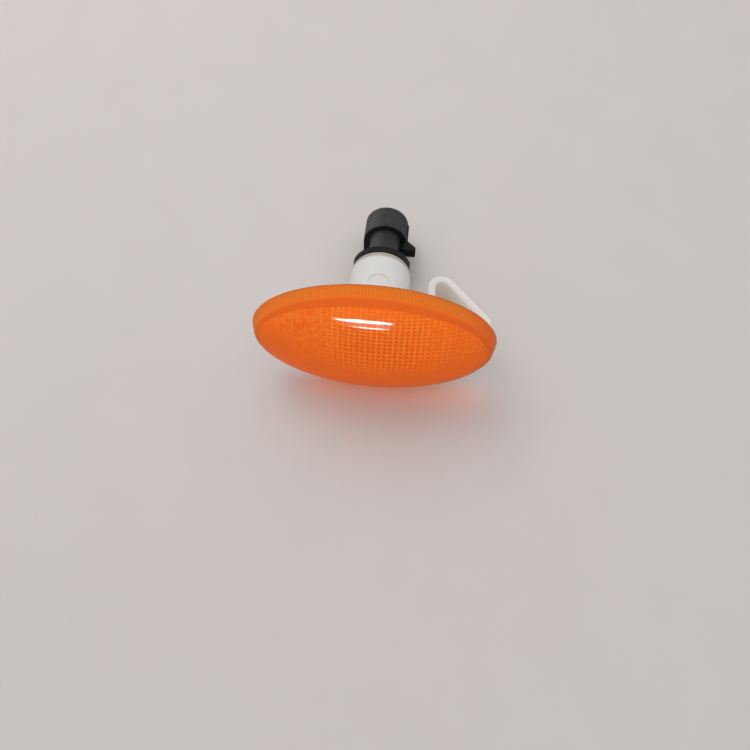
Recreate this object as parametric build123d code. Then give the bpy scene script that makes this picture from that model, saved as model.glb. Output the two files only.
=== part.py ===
from build123d import *

import os
from math import acos, atan2, cos, hypot, pi, sin

# Side repeater lamp for a car's front wing. Sizes are in millimetres.
# +X runs along the lens, +Z is up, the lens faces -Y and the bulb holder points back along +Y.
# The origin is the centre of the lens's back edge, which seats on the outside of the body panel at Y = 0.

# Lens: an oval cap with a skirt that draws in towards the front and a dome on it
LENS_LENGTH = 84.0
LENS_HEIGHT = 48.4
LENS_WALL = 2.0
SKIRT_DEPTH = 4.3
SKIRT_INSET = 1.5
SKIRT_LEDGE = 0.4
DOME_RISE = 8.7
DOME_FULLNESS = 0.7
DOME_POINTS = 8

# Housing: back plate welded into the lens, and the round boss that takes the bulb holder
PLATE_THICKNESS = 2.0
PLATE_RECESS = 0.4
WELD_GAP = 0.05
BOSS_WALL = 1.9
BOSS_REACH = 28.0
BOSS_END_WALL = 2.0
BOSS_EDGE = 0.4
MARK_DIAMETER = 7.4
MARK_DEPTH = 0.2
MARK_FROM_SEAT = 14.9

# Fixings on the housing: the V spring clip at the +X end and the fixed hook at the -X end
PANEL_GAP = 2.2
CLIP_WIDTH = 11.0
CLIP_THICKNESS = 2.4
CLIP_LEG_FROM_BOSS = 7.9
CLIP_PEAK = 25.2
CLIP_BEND_RADIUS = 3.5
CLIP_TOE_FROM_END = 3.9
CLIP_TOE_LENGTH = 3.8
CLIP_ELBOW_RADIUS = 2.4
HOOK_WIDTH = 10.0
HOOK_THICKNESS = 2.2
HOOK_FROM_END = 10.0
HOOK_REACH = 3.4

# Twist lock between the holder and the boss
TURN_GAP = 0.05
PLUG_WALL = 1.0
PLUG_LENGTH = 10.0
LUG_COUNT = 3
LUG_REACH = 1.2
LUG_WIDTH = 4.0
LUG_LENGTH = 2.2
LUG_FIRST_ANGLE = 90.0
LUG_ROOM = 0.25
BORE_ROOM = 0.45
UNLOCK_ANGLE = 45.0

# Seal and bulb holder, from the boss backwards
SEAL_THICKNESS = 1.45
SEAL_INSET = 0.15
SEAL_GROOVE_WIDTH = 0.4
SEAL_GROOVE_DEPTH = 0.35
FLANGE_OVERHANG = 0.15
FLANGE_FLAT_CUT = 0.8
FLANGE_THICKNESS = 3.2
FLANGE_EDGE = 0.4
NECK_STEP = 2.55
NECK_LENGTH = 14.3
NECK_FILLET = 0.5
SHROUD_BORE = 13.8
SHROUD_LENGTH = 11.1
SHROUD_WALL = 1.5
SHROUD_FLOOR = 2.4
SHROUD_CORNER = 3.0
SHROUD_EDGE = 0.35

# Latch catch for the loom's plug, on the +X side of the shroud
CATCH_HEIGHT = 3.4
CATCH_REACH = 3.7
CATCH_OVERHANG = 5.0
CATCH_FLAT = 1.6
CATCH_EDGE = 0.6
CATCH_ROOT = 1.2
CATCH_WEB = 1.2
RAIL_HEIGHT = 0.4
RAIL_RAMP = 1.0
RAIL_SETBACK = 0.9

# Wedge bulb
BULB_LENGTH = 26.8
GLOBE_DIAMETER = 9.5
GLOBE_WALL = 0.7
GLOBE_FLOOR = 1.2
GLOBE_GAP = 0.3
BASE_WIDTH = 9.6
BASE_THICKNESS = 2.4
LEAD_DIAMETER = 0.5
LEAD_SPREAD = 4.0
LEAD_FOLD = 5.0
FILAMENT_DIAMETER = 0.7
FILAMENT_FROM_GLOBE_BACK = 7.0
CONTACT_GAP = 0.05

# Terminals: a spring finger beside the bulb's base and a blade in the shroud
TERMINAL_STEP = 1.0
BLADE_WIDTH = 2.8
BLADE_THICKNESS = 0.8
BLADE_SETBACK = 1.8
BLADE_CHAMFER = 0.2
FINGER_WIDTH = 5.0
FINGER_FLARE = 0.7
SOCKET_END_WALL = 2.8
SOCKET_ROOM = 0.3

# Places along the axis that follow from the sizes
HALF_LENGTH = LENS_LENGTH / 2
PLATE_BACK = -PLATE_RECESS
PLATE_FRONT = PLATE_BACK - PLATE_THICKNESS
END_WALL_FRONT = BOSS_REACH - BOSS_END_WALL
FLANGE_FRONT = BOSS_REACH + TURN_GAP + SEAL_THICKNESS
FLANGE_BACK = FLANGE_FRONT + FLANGE_THICKNESS
PLUG_FRONT = FLANGE_FRONT - PLUG_LENGTH
SOCKET_FLOOR = FLANGE_BACK - SOCKET_END_WALL
SHROUD_FRONT = FLANGE_BACK + NECK_LENGTH
SHROUD_BACK = SHROUD_FRONT + SHROUD_LENGTH
SHROUD_INNER_FLOOR = SHROUD_FRONT + SHROUD_FLOOR
BULB_SEAT = SOCKET_FLOOR - LEAD_DIAMETER - 2 * CONTACT_GAP
BULB_TIP = BULB_SEAT - BULB_LENGTH
GLOBE_BACK = PLUG_FRONT - GLOBE_GAP
FILAMENT_Y = GLOBE_BACK - FILAMENT_FROM_GLOBE_BACK

# Sizes across the axis that follow from the bulb outwards
GLOBE_RADIUS = GLOBE_DIAMETER / 2
LEAD_STANDOFF = BASE_THICKNESS / 2 + CONTACT_GAP + LEAD_DIAMETER / 2
FINGER_CONTACT = LEAD_STANDOFF + LEAD_DIAMETER / 2 + CONTACT_GAP + BLADE_THICKNESS / 2
TERMINAL_OFFSET = FINGER_CONTACT + TERMINAL_STEP
SOCKET_HALF_WIDTH = BASE_WIDTH / 2 + SOCKET_ROOM
SOCKET_HALF_HEIGHT = FINGER_CONTACT + max(TERMINAL_STEP, FINGER_FLARE) + BLADE_THICKNESS / 2 + SOCKET_ROOM
PLUG_RADIUS = hypot(SOCKET_HALF_WIDTH, SOCKET_HALF_HEIGHT) + PLUG_WALL
BORE_RADIUS = PLUG_RADIUS + LUG_REACH + BORE_ROOM
BOSS_RADIUS = BORE_RADIUS + BOSS_WALL
SEAL_RADIUS = BOSS_RADIUS - SEAL_INSET
FLANGE_RADIUS = BOSS_RADIUS + FLANGE_OVERHANG
SHROUD_INNER_RADIUS = SHROUD_BORE / 2
SHROUD_RADIUS = SHROUD_INNER_RADIUS + SHROUD_WALL
NECK_RADIUS = SHROUD_RADIUS - NECK_STEP


def across(y):
    """Plane square to the lamp's axis at this depth, facing backwards."""
    return Plane(origin=(0, y, 0), x_dir=(1, 0, 0), z_dir=(0, 1, 0))


def rod(radius, start, end):
    """Round bar about the lamp's axis from one depth to another."""
    return extrude(across(start) * Circle(radius), end - start)


def block(width, height, start, end):
    """Rectangular bar about the lamp's axis from one depth to another."""
    return extrude(across(start) * Rectangle(width, height), end - start)


def arch(radius, corner, start, end):
    """Bar about the lamp's axis with a round top, straight sides and a flat bottom with round corners."""
    outline = Circle(radius) + Pos(0, radius / 2) * Rectangle(2 * radius, radius)
    outline = fillet(outline.vertices().group_by(Axis.Y)[-1], corner)
    return extrude(across(start) * outline, end - start)


def around_axis(shape, angle):
    """The shape turned about the lamp's axis."""
    return Rot(0, angle, 0) * shape


def oval(half_length):
    """Half sizes of an oval in the lens's proportion."""
    return (half_length, half_length * LENS_HEIGHT / LENS_LENGTH)


def oval_taper(first, first_half, second, second_half):
    """Straight-sided solid between two ovals, each given by its depth and half length."""
    ends = [across(first) * Ellipse(*oval(first_half)), across(second) * Ellipse(*oval(second_half))]
    return loft(ends, ruled=True)


def flank(y):
    """Half length of the skirt's outside at this depth."""
    return HALF_LENGTH + y * SKIRT_INSET / SKIRT_DEPTH


def mouth(y):
    """Half length of the skirt's inside at this depth."""
    return HALF_LENGTH - LENS_WALL + y * (SKIRT_INSET + SKIRT_LEDGE) / SKIRT_DEPTH


def dome_line(half_length, rise, base):
    """Curve of a dome along the lens, from its crown on the axis out to its base."""
    points = []
    for step in range(DOME_POINTS + 1):
        angle = pi / 2 * step / DOME_POINTS
        drop = rise * max(cos(angle), 0) ** (2 * DOME_FULLNESS)
        points.append((half_length * sin(angle), base - drop))
    return Spline(*points, tangents=((1, 0), (0, 1)))


def lens():
    """Amber cap: skirt, small ledge and dome, turned round, drawn to the oval and trimmed at the seat."""
    front = -SKIRT_DEPTH
    brim = LENS_WALL
    crest = flank(front) - SKIRT_LEDGE
    outer_crown = (0, front - DOME_RISE)
    inner_crown = (0, front - DOME_RISE + LENS_WALL)
    section = make_face(
        [
            dome_line(crest, DOME_RISE, front),
            Polyline((crest, front), (flank(front), front), (flank(brim), brim), (mouth(brim), brim)),
            Line((mouth(brim), brim), (mouth(front), front)),
            dome_line(mouth(front), DOME_RISE - LENS_WALL, front),
            Line(inner_crown, outer_crown),
        ]
    )
    drawn = scale(revolve(section, Axis.Y), by=(1, 1, LENS_HEIGHT / LENS_LENGTH))
    return split(drawn, bisect_by=across(0), keep=Keep.BOTTOM)


def spring_clip():
    """Bent strip: a leg on the plate, a round bend and an arm that slopes out to a toe behind the panel."""
    half = CLIP_THICKNESS / 2
    leg = BOSS_RADIUS + CLIP_LEG_FROM_BOSS
    centre = (leg + CLIP_BEND_RADIUS, CLIP_PEAK - half - CLIP_BEND_RADIUS)
    elbow = (HALF_LENGTH - CLIP_TOE_FROM_END, PANEL_GAP + CLIP_TOE_LENGTH)
    to_elbow = (elbow[0] - centre[0], elbow[1] - centre[1])
    tangent = atan2(to_elbow[1], to_elbow[0]) + acos(CLIP_BEND_RADIUS / hypot(*to_elbow))
    arm_start = (centre[0] + CLIP_BEND_RADIUS * cos(tangent), centre[1] + CLIP_BEND_RADIUS * sin(tangent))
    slope = (elbow[1] - arm_start[1]) / (elbow[0] - arm_start[0])
    corner = (leg, elbow[1] + slope * (leg - elbow[0]))
    path = FilletPolyline(
        (leg, PLATE_FRONT + PLATE_THICKNESS / 2),
        corner,
        elbow,
        (elbow[0], PANEL_GAP),
        radius=(CLIP_BEND_RADIUS, CLIP_ELBOW_RADIUS),
    )
    return extrude(trace(path, line_width=CLIP_THICKNESS), CLIP_WIDTH / 2, both=True)


def fixed_hook():
    """Short arm on the plate with a lip that goes behind the panel."""
    root = PLATE_FRONT + PLATE_THICKNESS / 2
    outer = HOOK_FROM_END - HALF_LENGTH
    inner = outer + HOOK_THICKNESS
    tip = outer - HOOK_REACH
    lip_back = PANEL_GAP + HOOK_THICKNESS
    outline = Polyline(
        (inner, root),
        (inner, lip_back),
        (tip, lip_back),
        (tip, PANEL_GAP),
        (outer, PANEL_GAP),
        (outer, root),
        close=True,
    )
    return extrude(make_face(outline), HOOK_WIDTH / 2, both=True)


def boss_mark():
    """Shallow round sinking on top of the boss that follows its curve."""
    upright = Pos(0, MARK_FROM_SEAT, 0) * extrude(Circle(MARK_DIAMETER / 2), 2 * BOSS_RADIUS)
    return upright - rod(BOSS_RADIUS - MARK_DEPTH, PLATE_FRONT, BOSS_REACH)


def housing():
    """White moulding: plate, boss with its twist-lock end wall, spring clip and hook."""
    plate = oval_taper(PLATE_BACK, mouth(PLATE_BACK) - WELD_GAP, PLATE_FRONT, mouth(PLATE_FRONT) - WELD_GAP)
    boss = rod(BOSS_RADIUS, PLATE_FRONT, BOSS_REACH)
    boss = fillet(boss.edges().group_by(Axis.Y)[-1], BOSS_EDGE)
    body = plate + boss + spring_clip() + fixed_hook()
    body -= rod(BORE_RADIUS, PLATE_FRONT, END_WALL_FRONT)
    body -= rod(PLUG_RADIUS + TURN_GAP, END_WALL_FRONT, BOSS_REACH)
    for angle in lug_angles():
        body -= around_axis(lug(LUG_ROOM, END_WALL_FRONT, BOSS_REACH), angle + UNLOCK_ANGLE)
    return body - boss_mark()


def lug_angles():
    """Turn of each lug about the axis in the locked position."""
    return [LUG_FIRST_ANGLE + 360 / LUG_COUNT * number for number in range(LUG_COUNT)]


def lug(room, start, end):
    """Lug of the twist lock on the +Z side, or the notch for it when given some room."""
    reach = PLUG_RADIUS + LUG_REACH + room
    width = LUG_WIDTH + 2 * room
    bar = extrude(across(start) * Pos(0, -reach / 2) * Rectangle(width, reach), end - start)
    return bar & rod(reach, start, end)


def latch_catch():
    """Ramped catch in front of the shroud, with its rail along the shroud and its web to the neck."""
    root = SHROUD_RADIUS - CATCH_ROOT
    front = SHROUD_FRONT - CATCH_OVERHANG
    outer = SHROUD_RADIUS + CATCH_REACH
    rail = SHROUD_RADIUS + RAIL_HEIGHT
    rail_end = SHROUD_BACK - RAIL_SETBACK
    outline = Polyline(
        (root, front),
        (outer, front),
        (outer, front + CATCH_FLAT),
        (rail, SHROUD_FRONT),
        (rail, rail_end - RAIL_RAMP),
        (root, rail_end),
        close=True,
    )
    catch = extrude(make_face(outline), CATCH_HEIGHT / 2, both=True)
    catch = fillet(catch.faces().sort_by(Axis.X)[-1].edges(), CATCH_EDGE)
    web_front = front + CATCH_FLAT
    web = Pos(root / 2, (web_front + SHROUD_FRONT) / 2) * Rectangle(root, SHROUD_FRONT - web_front)
    return catch + extrude(web, CATCH_WEB / 2, both=True)


def bulb_holder():
    """Black moulding: twist-lock plug with the bulb's socket, flange, neck and connector shroud."""
    flange = rod(FLANGE_RADIUS, FLANGE_FRONT, FLANGE_BACK)
    across_flats = 2 * (FLANGE_RADIUS - FLANGE_FLAT_CUT)
    flange &= block(across_flats, 2 * FLANGE_RADIUS, FLANGE_FRONT, FLANGE_BACK)
    flange = fillet(flange.edges(), FLANGE_EDGE)
    shroud = arch(SHROUD_RADIUS, SHROUD_CORNER, SHROUD_FRONT, SHROUD_BACK)
    rims = shroud.edges().group_by(Axis.Y)
    shroud = fillet(rims[0] + rims[-1], SHROUD_EDGE)
    neck = rod(NECK_RADIUS, FLANGE_FRONT, SHROUD_INNER_FLOOR)
    stem = neck + shroud
    stem = fillet(new_edges(neck, shroud, combined=stem), NECK_FILLET)
    body = rod(PLUG_RADIUS, PLUG_FRONT, FLANGE_BACK) + flange + stem + latch_catch()
    lug_back = END_WALL_FRONT - TURN_GAP
    for angle in lug_angles():
        body += around_axis(lug(0, lug_back - LUG_LENGTH, lug_back), angle)
    body -= arch(SHROUD_INNER_RADIUS, SHROUD_CORNER - SHROUD_WALL, SHROUD_INNER_FLOOR, SHROUD_BACK)
    body -= block(2 * SOCKET_HALF_WIDTH, 2 * SOCKET_HALF_HEIGHT, PLUG_FRONT, SOCKET_FLOOR)
    slot_width = BLADE_WIDTH + 2 * CONTACT_GAP
    slot_height = BLADE_THICKNESS + 2 * CONTACT_GAP
    slot = block(slot_width, slot_height, SOCKET_FLOOR, SHROUD_INNER_FLOOR)
    for side in (1, -1):
        body -= Pos(0, 0, side * TERMINAL_OFFSET) * slot
    return body


def holder_seal():
    """Rubber ring under the flange, with a groove round its outside."""
    front = FLANGE_FRONT - SEAL_THICKNESS
    groove_front = front + (SEAL_THICKNESS - SEAL_GROOVE_WIDTH) / 2
    groove_back = groove_front + SEAL_GROOVE_WIDTH
    groove = rod(SEAL_RADIUS, groove_front, groove_back)
    groove -= rod(SEAL_RADIUS - SEAL_GROOVE_DEPTH, groove_front, groove_back)
    ring = rod(SEAL_RADIUS, front, FLANGE_FRONT) - groove
    return ring - rod(PLUG_RADIUS + CONTACT_GAP, front, FLANGE_FRONT)


def globe(shrink, back):
    """Round-nosed glass envelope about the axis, made smaller all round by this amount."""
    radius = GLOBE_RADIUS - shrink
    nose = BULB_TIP + GLOBE_RADIUS
    return rod(radius, nose, back) + Pos(0, nose, 0) * Sphere(radius)


def bulb_glass():
    """Hollow envelope with a flat pinched base."""
    base = block(BASE_WIDTH, BASE_THICKNESS, GLOBE_BACK - GLOBE_FLOOR, BULB_SEAT)
    glass = globe(0, GLOBE_BACK) + base - globe(GLOBE_WALL, GLOBE_BACK - GLOBE_FLOOR)
    for side in (1, -1):
        passage = rod(LEAD_DIAMETER / 2 + CONTACT_GAP, FILAMENT_Y, BULB_SEAT)
        glass -= Pos(side * LEAD_SPREAD / 2, 0, 0) * passage
    return glass


def bulb_filament():
    """Coil between the two lead wires, as a plain bar of its outer size."""
    length = LEAD_SPREAD - LEAD_DIAMETER
    return Pos(0, FILAMENT_Y, 0) * Rot(0, 90, 0) * Cylinder(FILAMENT_DIAMETER / 2, length)


def lead_wire(side):
    """Wire from the filament through the base, folded back over one flat of it."""
    radius = LEAD_DIAMETER / 2
    fold = BULB_SEAT + CONTACT_GAP + radius
    knuckle = Pos(0, fold, 0) * Sphere(radius)
    run = rod(radius, FILAMENT_Y - radius, fold) + knuckle
    turn = Pos(0, fold, LEAD_STANDOFF / 2) * Cylinder(radius, LEAD_STANDOFF)
    tail = Pos(0, 0, LEAD_STANDOFF) * (rod(radius, fold - LEAD_FOLD, fold) + knuckle)
    wire = Pos(LEAD_SPREAD / 2, 0, 0) * (run + turn + tail)
    return wire if side > 0 else around_axis(wire, 180)


def bulb_lead_wires():
    """Both lead wires of the bulb."""
    return Compound(children=[lead_wire(1).solid(), lead_wire(-1).solid()])


def terminal(side):
    """Stamped contact: finger on the bulb's lead wire, stem in the holder and blade in the shroud."""
    contact_y = BULB_SEAT - LEAD_FOLD / 2
    finger_path = Polyline(
        (TERMINAL_OFFSET, SOCKET_FLOOR),
        (TERMINAL_OFFSET, SOCKET_FLOOR - BLADE_THICKNESS),
        (FINGER_CONTACT, contact_y),
        (FINGER_CONTACT + FINGER_FLARE, PLUG_FRONT + BLADE_THICKNESS),
    )
    finger = extrude(trace(finger_path, line_width=BLADE_THICKNESS), FINGER_WIDTH / 2, both=True)
    blade_end = SHROUD_BACK - BLADE_SETBACK
    blade = block(BLADE_WIDTH, BLADE_THICKNESS, SOCKET_FLOOR - BLADE_THICKNESS, blade_end)
    tip = blade.edges().group_by(Axis.Y)[-1].filter_by(Axis.X)
    blade = Pos(0, 0, TERMINAL_OFFSET) * chamfer(tip, BLADE_CHAMFER)
    contact = around_axis(finger, -90) + blade
    return contact if side > 0 else around_axis(contact, 180)


PIECES = {
    "lens": lens(),
    "housing": housing(),
    "bulb_holder": bulb_holder(),
    "holder_seal": holder_seal(),
    "bulb_glass": bulb_glass(),
    "bulb_filament": bulb_filament(),
    "bulb_lead_wires": bulb_lead_wires(),
    "terminal_upper": terminal(1),
    "terminal_lower": terminal(-1),
}

os.makedirs("parts", exist_ok=True)
for name, piece in PIECES.items():
    export_step(piece, f"parts/{name}.step")
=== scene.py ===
from math import cos, hypot, pi, radians, sin, sqrt

import bmesh
import bpy
from mathutils import Matrix, Vector


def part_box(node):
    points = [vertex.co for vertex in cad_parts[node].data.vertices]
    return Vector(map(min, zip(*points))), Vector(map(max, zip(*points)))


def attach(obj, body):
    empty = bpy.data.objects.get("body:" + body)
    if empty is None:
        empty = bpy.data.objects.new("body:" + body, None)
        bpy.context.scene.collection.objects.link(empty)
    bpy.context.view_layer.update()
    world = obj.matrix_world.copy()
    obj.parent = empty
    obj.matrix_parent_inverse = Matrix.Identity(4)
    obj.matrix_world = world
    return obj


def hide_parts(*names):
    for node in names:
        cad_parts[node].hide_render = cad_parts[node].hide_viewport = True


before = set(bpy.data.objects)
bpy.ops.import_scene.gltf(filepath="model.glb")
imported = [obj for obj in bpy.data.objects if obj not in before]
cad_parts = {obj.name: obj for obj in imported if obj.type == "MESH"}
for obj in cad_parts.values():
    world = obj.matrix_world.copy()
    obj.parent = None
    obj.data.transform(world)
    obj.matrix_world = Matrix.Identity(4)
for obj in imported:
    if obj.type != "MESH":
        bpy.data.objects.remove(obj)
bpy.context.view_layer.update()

# Side repeater lamp lying on a pale table. Sizes are in metres unless a name says otherwise.
MM = 0.001

# Places on the solids that the table and the looks follow
LENS_LOW, LENS_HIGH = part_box("lens")
HOLDER_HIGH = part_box("bulb_holder")[1]
FLANGE_BACK = 32.7 * MM
NECK_RADIUS = 5.85 * MM
SHROUD_RADIUS = 8.4 * MM
SHROUD_FRONT = 47.0 * MM
CLIP_ROOT = 18.5 * MM

# Camera of the photograph, in the lamp's frame
CAMERA_PLACE = Vector((9.14, -126.13, 152.2)) * MM
CAMERA_LOOK = Vector((-0.0377, 0.583, -0.8116))
CAMERA_UP = Vector((-0.0884, 0.807, 0.5839))
CAMERA_LENS_MM = 27.6
SENSOR_MM = 36.0
CAMERA_NEAR = 5.0 * MM

# Table under the lens's lower edge and the shroud's lower rim
TABLE_GAP = 0.05 * MM
TABLE_SIZE = 0.9
TABLE_TONES = ((0.665, 0.622, 0.603), (0.68, 0.637, 0.618))

# Lens moulding: the solid's skirt and dome with the step between them softened, ribs inside the skirt and
# square optics inside the dome
HALF_LENGTH = LENS_HIGH.x
OVAL = LENS_HIGH.z / LENS_HIGH.x
LENS_WALL = 2.0 * MM
SKIRT_DEPTH = 4.3 * MM
SKIRT_INSET = 1.5 * MM
SKIRT_LEDGE = 0.4 * MM
CREST = HALF_LENGTH - SKIRT_INSET - SKIRT_LEDGE
DOME_RISE = -LENS_LOW.y - SKIRT_DEPTH
DOME_POWER = 1.4
EDGE_ROUND = 0.25 * MM
SKIRT_RINGS = 5
DOME_RINGS = 28
BAND_SHARES = (0.995, 0.985, 0.975)
ARC_STEPS = 20
SHARP_ANGLE = radians(50)
RIB_COUNT = 228
RIB_DEPTH = 0.28 * MM
RIB_STEPS = 4
OPTIC_PITCH = 1.78 * MM
OPTIC_DEPTH = 0.2 * MM
OPTIC_STEPS = 6
OPTIC_EDGE = 36.6 * MM

# How the optics show through the dome, inside an oval: clearest about one place, with the rows squeezed near
# the top, as close dots at both ends, and fading low down and to the right. A dark spot high in each optic
# is painted shade, strongest about that place, and the close dots take a painted glint
SHOW_REACH = 38.3 * MM
SHOW_EDGE = 35.9 * MM
SHOW_FADE = 1.0 * MM
CLEAREST_X = 3.0 * MM
CLEAREST_Z = 7.0 * MM
LINE_SHARES = (0.17, 0.03)
UNEVEN_SIZE = 0.9 * OPTIC_PITCH
UNEVEN_RANGE = (0.3, 0.62)
SPOT_RAISE = 0.14 * OPTIC_PITCH
SPOT_RANGE = (0.35, 1.0)
SPOT_FADE = (7.0 * MM, 20.0 * MM)
SPOT_HEIGHT_WEIGHT = 1.6
SPOT_LOSS = 0.85
SQUEEZE_START = 6.0 * MM
SQUEEZE_PER_METRE = 32.0
CLOSE_PITCH = OPTIC_PITCH / 2
CLOSE_LEFT = (-9.0 * MM, -19.0 * MM)
CLOSE_RIGHT = (19.0 * MM, 28.0 * MM)
CLOSE_RIGHT_SHARE = 0.7
PLAIN_SLOPE = 0.3
PLAIN_LOW = (4.0 * MM, -11.0 * MM)
PLAIN_LOW_SHARE = 0.85
PLAIN_RIGHT = (12.0 * MM, 34.0 * MM)
PLAIN_RIGHT_SHARE = 0.4
OPTIC_RELIEF = -0.05 * MM

# Zones of the lens, along its depth, its oval radius and its length
STEP_ZONE = (-0.1 * MM - SKIRT_DEPTH, 0.1 * MM - SKIRT_DEPTH)
RIB_ZONE = (0.1 * MM - SKIRT_DEPTH, 1.2 * MM - SKIRT_DEPTH)
# The seat zone takes a dark line along the lens's back edge: painted shade
SEAT_SHADE_ZONE = (-0.5 * MM, -0.2 * MM)
LEDGE_ZONE = (CREST - 0.7 * MM, CREST)
# The right end's lighter tone is painted light
LIT_END_ZONE = (26.0 * MM, 40.0 * MM)
LIT_END_SHARE = 0.8
RIB_RELIEF = 0.05 * MM

# Tones of the lens
LATTICE_TONE = (0.95, 0.32, 0.035)
GLINT_TONE = (1.0, 0.56, 0.09)
OPTIC_TONE = (0.92, 0.177, 0.009)
CLOSE_TONE = (0.88, 0.15, 0.006)
# The dark spot in each optic is painted shade
HOLLOW_SHADE_TONE = (0.68, 0.075, 0.002)
PLAIN_TONE = (0.86, 0.165, 0.012)
SHOULDER_TONE = (0.76, 0.146, 0.014)
LEDGE_TONE = (0.81, 0.185, 0.02)
RIB_LIGHT_TONE = (0.76, 0.19, 0.017)
RIB_DARK_TONE = (0.64, 0.136, 0.009)
# Lighter tone of the lens's right end: painted light
LIT_END_TONE = (0.84, 0.13, 0.015)
# The seat's dark tone is painted shade along the lens's back edge
SEAT_SHADE_TONE = (0.4, 0.08, 0.005)
SHADOW_TINT = (1.0, 0.62, 0.3)

# Tones and zones of the other pieces; a mottled piece has a dark and a light tone
MOTTLE_RANGE = (0.3, 0.7)
WHITE_TONES = ((0.67, 0.65, 0.625), (0.71, 0.69, 0.665))
# The clip's warmer, darker tones are painted amber bounce light from the lens
CLIP_BOUNCE_TONES = ((0.6, 0.565, 0.525), (0.64, 0.605, 0.565))
CLIP_BLUR = 1.0 * MM
WHITE_DEPTH = 0.4
CLIP_DEPTH = 1.0
BLACK_GREYS = (0.007, 0.01)
# Grey on top of the neck and shroud is dust and painted top light, the lighter grey on their left is painted
# light, and the catch is left dark as painted shade
TOP_DUST_AND_LIGHT_GREYS = (0.028, 0.04)
LEFT_LIGHT_GREYS = (0.056, 0.075)
TOP_DUST_AND_LIGHT_UP = (-0.3, 0.9)
LEFT_LIGHT_FACING = (0.1, -0.8)
TOP_DUST_AND_LIGHT_START = (FLANGE_BACK, FLANGE_BACK + 1.0 * MM)
SHROUD_START = (SHROUD_FRONT - 0.2 * MM, SHROUD_FRONT + 0.2 * MM)
CATCH_BLUR = 0.3 * MM
SEAL_TONES = ((0.5, 0.455, 0.405), (0.56, 0.51, 0.46))
GLASS_TONES = ((0.93, 0.95, 0.95), (0.97, 0.98, 0.98))
TUNGSTEN_TONES = ((0.25, 0.24, 0.23), (0.36, 0.35, 0.34))
WIRE_TONES = ((0.6, 0.58, 0.54), (0.7, 0.68, 0.64))
TERMINAL_TONES = ((0.62, 0.5, 0.28), (0.74, 0.62, 0.38))

# Room, brightest up behind the lamp's left
BRIGHT_WAY = Vector((-0.2, 0.45, 0.87)).normalized()
ROOM_TONE = (0.98, 0.99, 1.0)
HORIZON_LIGHT = 0.3
ZENITH_LIGHT = 1.12
BACKDROP_LIGHT = 0.7

# Lamps: a key from up behind the left; a fill in front and a side lamp at the right, which light only the
# part's own pieces; and the glow of the light that the lens gathers and lets out below, only on the table
LIGHT_AIM = Vector((0.0, 0.02, 0.0))
KEY_PLACE = Vector((-0.3, 0.2, 0.72))
KEY_SIZE = 0.5
KEY_POWER = 1.7
KEY_TONE = (1.0, 0.96, 0.93)
FILL_PLACE = Vector((-0.05, -0.62, 0.2))
FILL_SIZE = 0.45
FILL_POWER = 1.4
SIDE_PLACE = Vector((0.6, 0.05, 0.3))
SIDE_SIZE = 0.4
SIDE_POWER = 0.5
GLOW_PLACE = Vector((8.0, -5.5, -19.5)) * MM
GLOW_AIM = Vector((8.0, -6.5, -27.0)) * MM
GLOW_LENGTH = 65.0 * MM
GLOW_HEIGHT = 5.0 * MM
GLOW_TONE = (1.0, 0.21, 0.03)
GLOW_POWER = 0.00088

# Strip lamps in front that only streak the lens: slopes up and across as seen from the lens, and radiance
STRIP_AIM = Vector((0.0, LENS_LOW.y, 17.0 * MM))
STRIP_DISTANCE = 0.6
STRIP_RADIANCE = 130.0
STRIPS = {
    "strip_wide": ((0.025, 0.11), (-0.35, 0.11), STRIP_RADIANCE),
    "strip_faint": ((-0.045, -0.005), (-0.3, 0.1), STRIP_RADIANCE / 12),
    "strip_thin": ((-0.1, -0.07), (-0.21, 0.09), STRIP_RADIANCE),
}


def new_object(name, data):
    """Links a mesh, camera or lamp to the scene as an object of this name."""
    made = bpy.data.objects.new(name, data)
    bpy.context.scene.collection.objects.link(made)
    return made


def dome_y(half_length, rise, radius):
    """Depth of a dome at this oval radius."""
    share = min(radius / half_length, 1.0)
    return -SKIRT_DEPTH - rise * sqrt(1.0 - share * share) ** DOME_POWER


def outer_profile():
    """Outside of the lens from the seat to near the crown, as oval radius and depth."""
    slope = SKIRT_INSET / SKIRT_DEPTH
    points = [(HALF_LENGTH - EDGE_ROUND, 0.0)]
    for step in range(SKIRT_RINGS):
        y = -EDGE_ROUND - (SKIRT_DEPTH - 2 * EDGE_ROUND) * step / (SKIRT_RINGS - 1)
        points.append((HALF_LENGTH + y * slope, y))
    for step in range(1, DOME_RINGS):
        radius = CREST * sin(pi / 2 * (1.0 - step / DOME_RINGS))
        points.append((radius, dome_y(CREST, DOME_RISE, radius)))
    return points


def mouth(y):
    """Oval radius of the skirt's inside at this depth."""
    return HALF_LENGTH - LENS_WALL + y * (SKIRT_INSET + SKIRT_LEDGE) / SKIRT_DEPTH


def inner_dome_y(radius):
    """Depth of the dome's inside at this oval radius."""
    return dome_y(mouth(-SKIRT_DEPTH), DOME_RISE - LENS_WALL, radius)


def oval_angles(count):
    """Angles round the oval that are evenly spaced along its edge."""
    fine = ARC_STEPS * count
    length = [0.0]
    for step in range(fine):
        angle = 2 * pi * (step + 0.5) / fine
        length.append(length[-1] + hypot(sin(angle), OVAL * cos(angle)) / fine)
    angles = []
    place = 0
    for number in range(count):
        while length[place] < length[-1] * number / count:
            place += 1
        angles.append(2 * pi * place / fine)
    return angles


def rib_wave(number):
    """Height of the rib at this step round the oval, from 0 between ribs to 1 on a rib."""
    return abs(sin(pi * number / RIB_STEPS))


def add_ring(mesh, angles, radius, y, waves=0.0):
    """One ring of the lens, with an inward wave of this depth for each rib."""
    rib = mesh.verts.layers.float["rib"]
    ring = []
    for number, angle in enumerate(angles):
        r = radius - waves * rib_wave(number)
        vert = mesh.verts.new((r * cos(angle), y, r * OVAL * sin(angle)))
        vert[rib] = rib_wave(number)
        ring.append(vert)
    return ring


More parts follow.
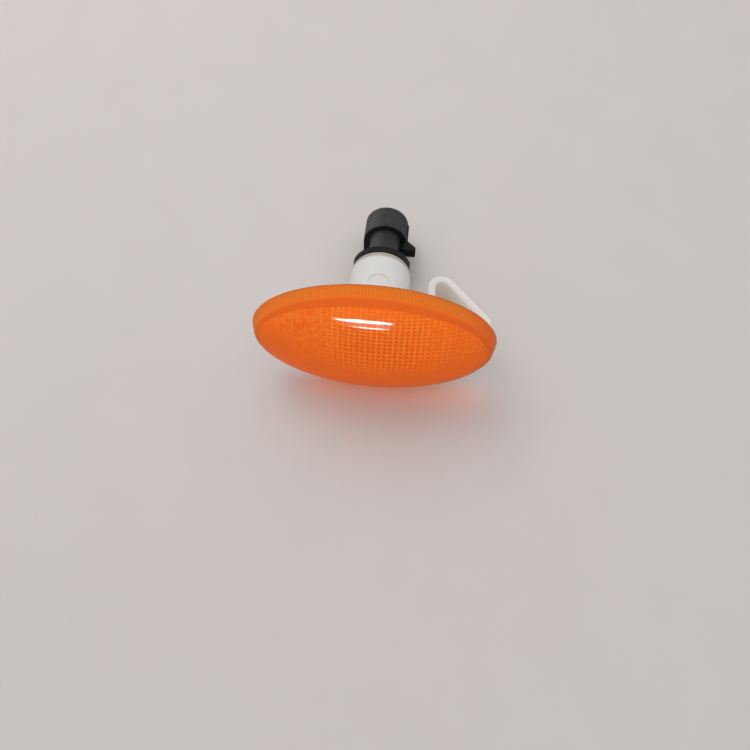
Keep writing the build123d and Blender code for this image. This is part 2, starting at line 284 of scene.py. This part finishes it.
def join_rings(mesh, rings):
    """Faces between each ring and the next, which has as many points."""
    for first, second in zip(rings, rings[1:]):
        for i in range(len(first)):
            mesh.faces.new((first[i - 1], first[i], second[i], second[i - 1]))


def ring_edges(mesh, ring):
    """Edges along a ring."""
    return [mesh.edges.get((ring[i - 1], ring[i])) for i in range(len(ring))]


def add_outside(mesh, angles):
    """Smooth outside of the lens with its crown. Returns the ring at the seat."""
    rings = [add_ring(mesh, angles, radius, y) for radius, y in outer_profile()]
    join_rings(mesh, rings)
    crown = mesh.verts.new((0.0, LENS_LOW.y, 0.0))
    last = rings[-1]
    for i in range(len(last)):
        mesh.faces.new((last[i - 1], last[i], crown))
    return rings[0]


def add_inside(mesh, angles):
    """Ribbed inside of the skirt and a plain band on the dome's inside. Returns its first and last rings."""
    rings = [add_ring(mesh, angles, mouth(0.0), 0.0)]
    for step in range(SKIRT_RINGS):
        y = -SKIRT_DEPTH * (step + 1) / (SKIRT_RINGS + 1)
        rings.append(add_ring(mesh, angles, mouth(y), y, RIB_DEPTH))
    band = mouth(-SKIRT_DEPTH)
    rings.append(add_ring(mesh, angles, band, -SKIRT_DEPTH))
    for share in BAND_SHARES:
        rings.append(add_ring(mesh, angles, band * share, inner_dome_y(band * share)))
    join_rings(mesh, rings)
    return rings[0], rings[-1]


def pillow(number):
    """Height of a pillow's arc at this step, from 0 on its edge to 1 in its middle."""
    share = 2.0 * (number % OPTIC_STEPS) / OPTIC_STEPS - 1.0
    return 1.0 - share * share


def add_optics(mesh):
    """Sheet of square pillows on the dome's inside, cut to an oval. Returns its outline's edges."""
    step = OPTIC_PITCH / OPTIC_STEPS
    columns = int(OPTIC_EDGE / step) + 1
    rows = int(OPTIC_EDGE * OVAL / step) + 1
    points = {}
    for i in range(-columns, columns + 1):
        for j in range(-rows, rows + 1):
            x, z = i * step, j * step
            radius = hypot(x, z / OVAL)
            if radius <= OPTIC_EDGE:
                bulge = OPTIC_DEPTH * pillow(i) * pillow(j)
                points[i, j] = mesh.verts.new((x, inner_dome_y(radius) + bulge, z))
    sheet = []
    for i, j in points:
        corners = [points.get(k) for k in ((i, j), (i + 1, j), (i + 1, j + 1), (i, j + 1))]
        if all(corners):
            sheet.append(mesh.faces.new(corners))
    loose = [point for point in points.values() if not point.link_faces]
    bmesh.ops.delete(mesh, geom=loose, context="VERTS")
    return [edge for face in sheet for edge in face.edges if edge.is_boundary]


def make_lens():
    """Closed lens moulding with a smooth outside and its ribs and optics inside."""
    mesh = bmesh.new()
    mesh.verts.layers.float.new("rib")
    angles = oval_angles(RIB_COUNT * RIB_STEPS)
    outer_seat = add_outside(mesh, angles)
    inner_seat, band = add_inside(mesh, angles)
    join_rings(mesh, [outer_seat, inner_seat])
    outline = add_optics(mesh)
    bmesh.ops.bridge_loops(mesh, edges=outline + ring_edges(mesh, band))
    bmesh.ops.recalc_face_normals(mesh, faces=mesh.faces)
    data = bpy.data.meshes.new("lens_moulding")
    mesh.to_mesh(data)
    mesh.free()
    for polygon in data.polygons:
        polygon.use_smooth = True
    data.set_sharp_from_angle(angle=SHARP_ANGLE)
    return new_object("lens_moulding", data)


class Nodes:
    """A material's nodes, added and linked by short calls."""

    def __init__(self, name):
        self.material = bpy.data.materials.new(name)
        self.material.use_nodes = True
        self.tree = self.material.node_tree
        self.shader = self.tree.nodes["Principled BSDF"]
        self.output = self.tree.nodes["Material Output"]
        coordinates = self.add("ShaderNodeTexCoord").outputs
        self.place = coordinates["Object"]
        self.facing = coordinates["Normal"]

    def add(self, kind, **values):
        """A node of this kind with these properties."""
        node = self.tree.nodes.new(kind)
        for key, value in values.items():
            setattr(node, key, value)
        return node

    def link(self, source, target):
        """Joins an output to an input."""
        self.tree.links.new(source, target)

    def feed(self, name, source):
        """Joins an output to the main shader's socket of this name."""
        self.link(source, self.shader.inputs[name])

    def set(self, **values):
        """Sets plain values on the main shader's sockets."""
        for key, value in values.items():
            self.shader.inputs[key.replace("_", " ")].default_value = value

    def put(self, value, target):
        """Links an output to an input, or sets a number or colour on it."""
        if isinstance(value, bpy.types.NodeSocket):
            self.link(value, target)
        elif isinstance(value, tuple):
            target.default_value = (*value, 1.0)
        else:
            target.default_value = value

    def math(self, operation, first, second=0.0):
        """Result of an operation on numbers or outputs."""
        node = self.add("ShaderNodeMath", operation=operation)
        self.put(first, node.inputs[0])
        self.put(second, node.inputs[1])
        return node.outputs["Value"]

    def plus(self, first, second):
        """Sum of two values."""
        return self.math("ADD", first, second)

    def minus(self, first, second):
        """First value less the second."""
        return self.math("SUBTRACT", first, second)

    def times(self, first, *others):
        """Product of these values."""
        for other in others:
            first = self.math("MULTIPLY", first, other)
        return first

    def larger(self, first, second):
        """Larger of two values."""
        return self.math("MAXIMUM", first, second)

    def invert(self, share):
        """What is left of 1 beside this share."""
        return self.minus(1.0, share)

    def distance(self, along, place):
        """Distance from a place along one axis."""
        return self.math("ABSOLUTE", self.minus(along, place))

    def axes(self, vector):
        """The three coordinates of a place or a direction."""
        node = self.add("ShaderNodeSeparateXYZ")
        self.link(vector, node.inputs["Vector"])
        return node.outputs

    def smooth(self, source, low, high):
        """A soft step from 0 at the low value to 1 at the high one."""
        node = self.add("ShaderNodeMapRange", interpolation_type="SMOOTHSTEP")
        node.inputs["From Min"].default_value = low
        node.inputs["From Max"].default_value = high
        self.link(source, node.inputs["Value"])
        return node.outputs["Result"]

    def mix(self, share, first, second):
        """The first colour going over to the second."""
        node = self.add("ShaderNodeMixRGB")
        self.put(share, node.inputs["Fac"])
        self.put(first, node.inputs["Color1"])
        self.put(second, node.inputs["Color2"])
        return node.outputs["Color"]

    def noise(self, size, detail=3.0):
        """Noise whose grains have about this size."""
        node = self.add("ShaderNodeTexNoise")
        node.inputs["Scale"].default_value = 1.0 / size
        node.inputs["Detail"].default_value = detail
        self.link(self.place, node.inputs["Vector"])
        return node.outputs["Fac"]

    def mottle(self, dark, light, size):
        """Two colours in patches of about this size."""
        node = self.add("ShaderNodeValToRGB")
        for stop, place, color in zip(node.color_ramp.elements, MOTTLE_RANGE, (dark, light)):
            stop.position = place
            stop.color = (*color, 1.0)
        self.link(self.noise(size), node.inputs["Fac"])
        return node.outputs["Color"]

    def grey(self, low, high, size):
        """Two greys in patches of about this size."""
        return self.mottle((low,) * 3, (high,) * 3, size)

    def bump(self, source, height, normal=None):
        """Normals with small relief of this height."""
        node = self.add("ShaderNodeBump")
        node.inputs["Distance"].default_value = height
        node.inputs["Strength"].default_value = 1.0
        self.link(source, node.inputs["Height"])
        if normal:
            self.link(normal, node.inputs["Normal"])
        return node.outputs["Normal"]

    def soft_edges(self, radius):
        """Normals that round the edges off by this radius."""
        node = self.add("ShaderNodeBevel", samples=6)
        node.inputs["Radius"].default_value = radius
        return node.outputs["Normal"]

    def clear_by(self, share, tint):
        """Makes the material clear, with this tint, by this share."""
        clear = self.add("ShaderNodeBsdfTransparent")
        clear.inputs["Color"].default_value = (*tint, 1.0)
        mix = self.add("ShaderNodeMixShader")
        self.link(share, mix.inputs["Fac"])
        self.link(self.shader.outputs["BSDF"], mix.inputs[1])
        self.link(clear.outputs["BSDF"], mix.inputs[2])
        self.link(mix.outputs["Shader"], self.output.inputs["Surface"])


def white_plastic():
    """Satin warm white moulding with faint flow marks and softened edges, clearer on the clip, whose warmer,
    darker tone is painted amber bounce light from the lens.
    """
    m = Nodes("white_plastic")
    x, y, _ = m.axes(m.place)
    on_clip = m.times(m.smooth(x, CLIP_ROOT - CLIP_BLUR, CLIP_ROOT), m.smooth(y, 0.0, CLIP_BLUR))
    white = m.mottle(*WHITE_TONES, size=9 * MM)
    # On the clip the tone goes over to painted amber bounce light
    m.feed("Base Color", m.mix(on_clip, white, m.mottle(*CLIP_BOUNCE_TONES, size=9 * MM)))
    m.feed("Subsurface Weight", m.plus(m.times(on_clip, CLIP_DEPTH - WHITE_DEPTH), WHITE_DEPTH))
    m.feed("Roughness", m.grey(0.36, 0.48, size=2 * MM))
    edges = m.soft_edges(radius=0.3 * MM)
    m.feed("Normal", m.bump(m.noise(0.35 * MM), height=0.008 * MM, normal=edges))
    m.set(IOR=1.49, Subsurface_Scale=12.0 * MM, Subsurface_Radius=(1.0, 0.85, 0.75))
    return m.material


def black_plastic():
    """Fine-grained black moulding, lighter grey on top of the neck and shroud as dust and painted top light,
    lighter still on their left as painted light, and the catch left dark as painted shade.
    """
    m = Nodes("black_plastic")
    x, y, _ = m.axes(m.place)
    facing = m.axes(m.facing)
    on_shroud = m.smooth(y, *SHROUD_START)
    catch_root = m.plus(m.times(on_shroud, SHROUD_RADIUS - NECK_RADIUS), NECK_RADIUS)
    beside_catch = m.smooth(m.minus(x, catch_root), CATCH_BLUR, -CATCH_BLUR)
    # Lighter tops are dust and painted top light, the catch is left out as painted shade, and the left side
    # gets painted light
    top_dust_and_light = m.times(m.smooth(y, *TOP_DUST_AND_LIGHT_START), beside_catch, m.smooth(facing["Z"], *TOP_DUST_AND_LIGHT_UP))
    lit_left = m.smooth(facing["X"], *LEFT_LIGHT_FACING)
    greys = (BLACK_GREYS, TOP_DUST_AND_LIGHT_GREYS, LEFT_LIGHT_GREYS)
    black, dust_and_light, left_light = (m.grey(*pair, size=4 * MM) for pair in greys)
    m.feed("Base Color", m.mix(top_dust_and_light, black, m.mix(lit_left, dust_and_light, left_light)))
    m.feed("Roughness", m.grey(0.48, 0.62, size=1.2 * MM))
    edges = m.soft_edges(radius=0.25 * MM)
    m.feed("Normal", m.bump(m.noise(0.25 * MM), height=0.02 * MM, normal=edges))
    m.set(IOR=1.24)
    return m.material


def seal_rubber():
    """Matt beige rubber."""
    m = Nodes("seal_rubber")
    m.feed("Base Color", m.mottle(*SEAL_TONES, size=1.5 * MM))
    m.feed("Roughness", m.grey(0.7, 0.85, size=0.6 * MM))
    edges = m.soft_edges(radius=0.3 * MM)
    m.feed("Normal", m.bump(m.noise(0.3 * MM), height=0.02 * MM, normal=edges))
    return m.material


def clear_glass():
    """Thin blown glass with faint draw waves."""
    m = Nodes("bulb_glass")
    m.feed("Base Color", m.mottle(*GLASS_TONES, size=6 * MM))
    m.feed("Normal", m.bump(m.noise(3 * MM, detail=1.0), height=0.02 * MM))
    m.set(Roughness=0.02, IOR=1.5, Transmission_Weight=1.0)
    return m.material


def bright_metal(name, tones, grain):
    """Drawn or stamped metal with a fine grain and some dulling."""
    m = Nodes(name)
    m.feed("Base Color", m.mottle(*tones, size=grain))
    m.feed("Roughness", m.grey(0.25, 0.42, size=grain / 3))
    m.feed("Normal", m.bump(m.noise(grain / 8), height=0.006 * MM))
    m.set(Metallic=1.0)
    return m.material


def optic_wave(m, along):
    """Rise from 0 on the edges of the square optics to 1 in their middle, along one axis."""
    return m.smooth(m.math("PINGPONG", along, OPTIC_PITCH / 2), 0.0, OPTIC_PITCH / 2)


def optic_edge(m, along, pitch):
    """1 on the edges between square optics of this pitch and 0 inside them, along one axis."""
    return m.smooth(m.math("PINGPONG", along, pitch / 2), *(share * pitch for share in LINE_SHARES))


def optic_rows(m, z):
    """Height on the lens as its optics show it: the dome squeezes the rows near its top."""
    above = m.larger(m.minus(z, SQUEEZE_START), 0.0)
    return m.plus(z, m.times(above, above, SQUEEZE_PER_METRE))


def plain_share(m, x, z):
    """How far the optics fade: low down, sooner away from the clearest place, and to the right."""
    height = m.minus(z, m.times(m.distance(x, CLEAREST_X), PLAIN_SLOPE))
    low = m.times(m.smooth(height, *PLAIN_LOW), PLAIN_LOW_SHARE)
    right = m.times(m.smooth(m.minus(x, CLEAREST_X), *PLAIN_RIGHT), PLAIN_RIGHT_SHARE)
    return m.larger(low, right)


def optic_lattice(m, x, row, close):
    """1 on the edges of the square optics, which go over to closer dots by this share."""
    lines = m.larger(optic_edge(m, x, OPTIC_PITCH), optic_edge(m, row, OPTIC_PITCH))
    crossed = m.plus(optic_edge(m, x, CLOSE_PITCH), optic_edge(m, row, CLOSE_PITCH))
    return m.plus(m.times(lines, m.invert(close)), m.times(crossed, 1 / 2, close))


def optic_tones(m, x, z, row, plain):
    """Colours of the square optics: pale edges and a dark spot high in each, which is painted shade, fading
    where they show less.
    """
    # Painted shade high in each optic
    spot_shade = m.smooth(m.times(optic_wave(m, x), optic_wave(m, m.minus(row, SPOT_RAISE))), *SPOT_RANGE)
    upward = m.times(m.distance(z, CLEAREST_Z), SPOT_HEIGHT_WEIGHT)
    away = m.smooth(m.larger(m.distance(x, CLEAREST_X), upward), *SPOT_FADE)
    cells = m.mix(m.times(spot_shade, m.invert(m.times(away, SPOT_LOSS))), OPTIC_TONE, HOLLOW_SHADE_TONE)
    right_end = m.times(m.smooth(x, *CLOSE_RIGHT), CLOSE_RIGHT_SHARE)
    close = m.larger(m.smooth(x, *CLOSE_LEFT), right_end)
    uneven = m.smooth(m.noise(UNEVEN_SIZE), *UNEVEN_RANGE)
    lattice = m.times(optic_lattice(m, x, row, close), uneven)
    # The close dots take a painted glint
    edges = m.mix(close, LATTICE_TONE, GLINT_TONE)
    return m.mix(plain, m.mix(lattice, m.mix(close, cells, CLOSE_TONE), edges), PLAIN_TONE)


def oval_radius(m, x, z, longer=1.0):
    """Oval radius of a place, for an oval that is this much longer than the lens's own."""
    wide = m.math("DIVIDE", x, longer)
    tall = m.math("DIVIDE", z, OVAL)
    return m.math("SQRT", m.plus(m.times(wide, wide), m.times(tall, tall)))


def amber_tones(m, place, dome, ribbed, rib):
    """Colours of the lens: the dome's own, the ledge round it, the ribbed skirt, a lighter right end that is
    painted light, and a dark line along the seat that is painted shade.
    """
    x, y, z = place
    # Painted light on the right end of the ledge and skirt
    lit_end = m.times(m.smooth(x, *LIT_END_ZONE), LIT_END_SHARE)
    ledge = m.mix(lit_end, LEDGE_TONE, LIT_END_TONE)
    dome = m.mix(m.smooth(oval_radius(m, x, z), *LEDGE_ZONE), dome, ledge)
    ribs = m.mix(lit_end, m.mix(rib, RIB_DARK_TONE, RIB_LIGHT_TONE), LIT_END_TONE)
    tone = m.mix(m.smooth(y, *STEP_ZONE), dome, m.mix(ribbed, ledge, ribs))
    # Painted shade along the seat
    return m.mix(m.smooth(y, *SEAT_SHADE_ZONE), tone, SEAT_SHADE_TONE)


def amber_plastic():
    """Glossy amber moulding with the ribs and square optics of its inside showing through."""
    m = Nodes("amber_lens")
    place = m.axes(m.place)
    x, y, z = place
    rib = m.add("ShaderNodeAttribute", attribute_name="rib").outputs["Fac"]
    ribbed = m.smooth(y, *RIB_ZONE)
    row = optic_rows(m, z)
    plain = plain_share(m, x, z)
    shown = m.smooth(oval_radius(m, x, z, SHOW_REACH / SHOW_EDGE), SHOW_EDGE + SHOW_FADE, SHOW_EDGE)
    dome = m.mix(shown, SHOULDER_TONE, optic_tones(m, x, z, row, plain))
    m.feed("Base Color", amber_tones(m, place, dome, ribbed, rib))
    hollow = m.times(optic_wave(m, x), optic_wave(m, row), shown, m.invert(plain))
    relief = m.plus(m.times(rib, ribbed, RIB_RELIEF), m.times(hollow, OPTIC_RELIEF))
    m.feed("Normal", m.bump(relief, height=1.0))
    m.set(Roughness=0.35, IOR=1.1, Specular_IOR_Level=0.0, Transmission_Weight=0.2)
    m.set(Coat_Weight=0.32, Coat_Roughness=0.03, Coat_IOR=1.4)
    m.clear_by(m.add("ShaderNodeLightPath").outputs["Is Shadow Ray"], SHADOW_TINT)
    return m.material


def table_paint():
    """Plain pale table top, see-through from below."""
    m = Nodes("table_top")
    m.feed("Base Color", m.mottle(*TABLE_TONES, size=25 * MM))
    m.feed("Normal", m.bump(m.noise(1.5 * MM), height=0.03 * MM))
    m.set(Roughness=0.7, Specular_IOR_Level=0.0)
    m.clear_by(m.add("ShaderNodeNewGeometry").outputs["Backfacing"], tint=(1.0, 1.0, 1.0))
    return m.material


def table_line():
    """A point on the table under the lens and the way that the table rises from there to the shroud."""
    near = Vector((0.0, 0.0, LENS_LOW.z - TABLE_GAP))
    far = Vector((0.0, HOLDER_HIGH.y, -SHROUD_RADIUS - TABLE_GAP))
    return near, (far - near).normalized()


def make_table():
    """Flat table that the lens's lower edge and the shroud's rim rest on."""
    near, along = table_line()
    half = TABLE_SIZE / 2
    corners = [near + Vector((sx * half, 0, 0)) + along * sy * half
               for sx, sy in ((-1, -1), (1, -1), (1, 1), (-1, 1))]
    data = bpy.data.meshes.new("table")
    data.from_pydata(corners, [], [(0, 1, 2, 3)])
    table = new_object("table", data)
    data.materials.append(table_paint())
    return table


def make_camera():
    """Camera at the photograph's place."""
    data = bpy.data.cameras.new("camera")
    data.lens = CAMERA_LENS_MM
    data.sensor_width = SENSOR_MM
    data.clip_start = CAMERA_NEAR
    look = CAMERA_LOOK.normalized()
    right = look.cross(CAMERA_UP).normalized()
    turn = Matrix((right, right.cross(look), -look)).transposed()
    camera = new_object("camera", data)
    camera.matrix_world = Matrix.Translation(CAMERA_PLACE) @ turn.to_4x4()
    bpy.context.scene.camera = camera


def make_room():
    """World that is brightest one way, with a plain pale backdrop where it is seen or mirrored."""
    world = bpy.data.worlds.new("room")
    bpy.context.scene.world = world
    world.use_nodes = True
    nodes, links = world.node_tree.nodes, world.node_tree.links
    upward = nodes.new("ShaderNodeVectorMath")
    upward.operation = "DOT_PRODUCT"
    upward.inputs[1].default_value = BRIGHT_WAY
    links.new(nodes.new("ShaderNodeTexCoord").outputs["Generated"], upward.inputs[0])
    level = nodes.new("ShaderNodeMapRange")
    level.inputs["To Min"].default_value = HORIZON_LIGHT
    level.inputs["To Max"].default_value = ZENITH_LIGHT
    links.new(upward.outputs["Value"], level.inputs["Value"])
    background = nodes["Background"]
    background.inputs["Color"].default_value = (*ROOM_TONE, 1.0)
    links.new(level.outputs["Result"], background.inputs["Strength"])
    backdrop = nodes.new("ShaderNodeBackground")
    backdrop.inputs["Color"].default_value = (*ROOM_TONE, 1.0)
    backdrop.inputs["Strength"].default_value = BACKDROP_LIGHT
    path = nodes.new("ShaderNodeLightPath").outputs
    seen = path["Is Camera Ray"]
    for ray in ("Is Glossy Ray", "Is Transmission Ray"):
        either = nodes.new("ShaderNodeMath")
        either.operation = "MAXIMUM"
        links.new(seen, either.inputs[0])
        links.new(path[ray], either.inputs[1])
        seen = either.outputs["Value"]
    mix = nodes.new("ShaderNodeMixShader")
    links.new(seen, mix.inputs["Fac"])
    links.new(background.outputs["Background"], mix.inputs[1])
    links.new(backdrop.outputs["Background"], mix.inputs[2])
    links.new(mix.outputs["Shader"], nodes["World Output"].inputs["Surface"])


def add_lamp(name, shape, place, aim, width, height, power):
    """Flat lamp that the camera doesn't see."""
    data = bpy.data.lights.new(name, "AREA")
    data.shape = shape
    data.size = width
    data.size_y = height
    data.energy = power
    lamp = new_object(name, data)
    lamp.location = place
    lamp.rotation_mode = "QUATERNION"
    lamp.rotation_quaternion = (aim - place).to_track_quat("-Z", "Y")
    lamp.visible_camera = False
    return lamp


def add_strip(name, upward, across, radiance):
    """Strip lamp in front of the lens, from its lower and upper and its left and right slopes."""
    low, high = upward
    left, right = across
    place = STRIP_AIM + STRIP_DISTANCE * Vector(((left + right) / 2, -1.0, (low + high) / 2))
    width = STRIP_DISTANCE * (right - left)
    height = STRIP_DISTANCE * (high - low)
    oval_area = pi / 4 * width * height
    lamp = add_lamp(name, "ELLIPSE", place, STRIP_AIM, width, height, radiance * pi * oval_area)
    lamp.visible_diffuse = False


def light_only(lamps, pieces):
    """Lets these lamps light these pieces alone, with only their own shadows."""
    lit = bpy.data.collections.new("lit_by_" + lamps[0].name)
    for piece in pieces:
        lit.objects.link(piece)
    for lamp in lamps:
        lamp.light_linking.receiver_collection = lit
        lamp.light_linking.blocker_collection = lit


def make_light(table, pieces):
    """The key, the fill and the side lamp on the part's pieces, the glow on the table, and the strips."""
    key = add_lamp("key", "SQUARE", KEY_PLACE, LIGHT_AIM, KEY_SIZE, KEY_SIZE, KEY_POWER)
    fill = add_lamp("fill", "SQUARE", FILL_PLACE, LIGHT_AIM, FILL_SIZE, FILL_SIZE, FILL_POWER)
    glow = add_lamp("glow", "RECTANGLE", GLOW_PLACE, GLOW_AIM, GLOW_LENGTH, GLOW_HEIGHT, GLOW_POWER)
    side = add_lamp("side", "SQUARE", SIDE_PLACE, LIGHT_AIM, SIDE_SIZE, SIDE_SIZE, SIDE_POWER)
    for lamp in (key, fill, side, glow):
        lamp.visible_glossy = False
    key.data.color = KEY_TONE
    glow.data.color = GLOW_TONE
    glow.visible_transmission = False
    light_only([glow], [table])
    light_only([fill, side], pieces)
    for name, (upward, across, radiance) in STRIPS.items():
        add_strip(name, upward, across, radiance)


def dress(node, material):
    """Gives a CAD node its material."""
    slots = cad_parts[node].data.materials
    slots.clear()
    slots.append(material)


bpy.context.scene.view_settings.view_transform = "Standard"
make_camera()
make_room()

lens = make_lens()
lens.data.materials.append(amber_plastic())
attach(lens, "lamp_body")
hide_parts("lens")
make_light(make_table(), [lens, *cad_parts.values()])

dress("housing", white_plastic())
dress("bulb_holder", black_plastic())
dress("holder_seal", seal_rubber())
dress("bulb_glass", clear_glass())
dress("bulb_filament", bright_metal("tungsten", TUNGSTEN_TONES, grain=0.5 * MM))
dress("bulb_lead_wires", bright_metal("lead_wire", WIRE_TONES, grain=1 * MM))
terminal_metal = bright_metal("terminal_metal", TERMINAL_TONES, grain=2 * MM)
dress("terminal_upper", terminal_metal)
dress("terminal_lower", terminal_metal)
